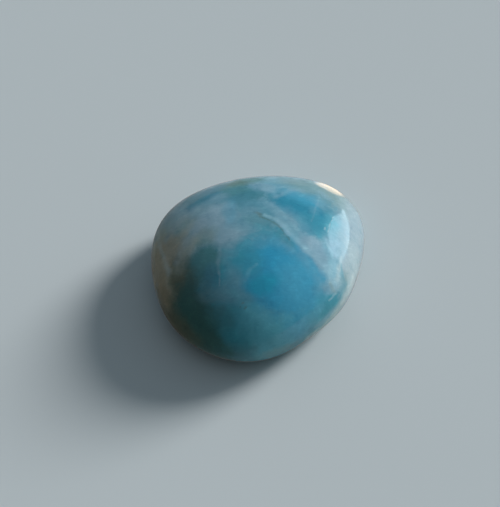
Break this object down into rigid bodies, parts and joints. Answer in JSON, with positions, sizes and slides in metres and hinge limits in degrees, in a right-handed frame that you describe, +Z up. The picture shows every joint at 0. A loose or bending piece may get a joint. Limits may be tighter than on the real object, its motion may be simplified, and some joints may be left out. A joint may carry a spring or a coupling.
{
  "type": "larimar",
  "caption": "Polished freeform larimar cabochon: a rounded triangle in plan with a high smooth dome, a soft girdle and a flat back.",
  "frame": {"origin": "middle of the stone's footprint, on the plane of the flat back that it rests on", "axes": "+Z up out of the dome, +X along the longest side of the outline, and the blunt tip of the outline towards -Y"},
  "size_m": [0.0214, 0.0206, 0.0088],
  "materials": {
    "polished_larimar": "polished to a soft gloss; sky blue and teal clouds with milky white veins, slightly translucent"
  },
  "bodies": {
    "root": {"larimar_stone": "polished_larimar"}
  },
  "joints": []
}
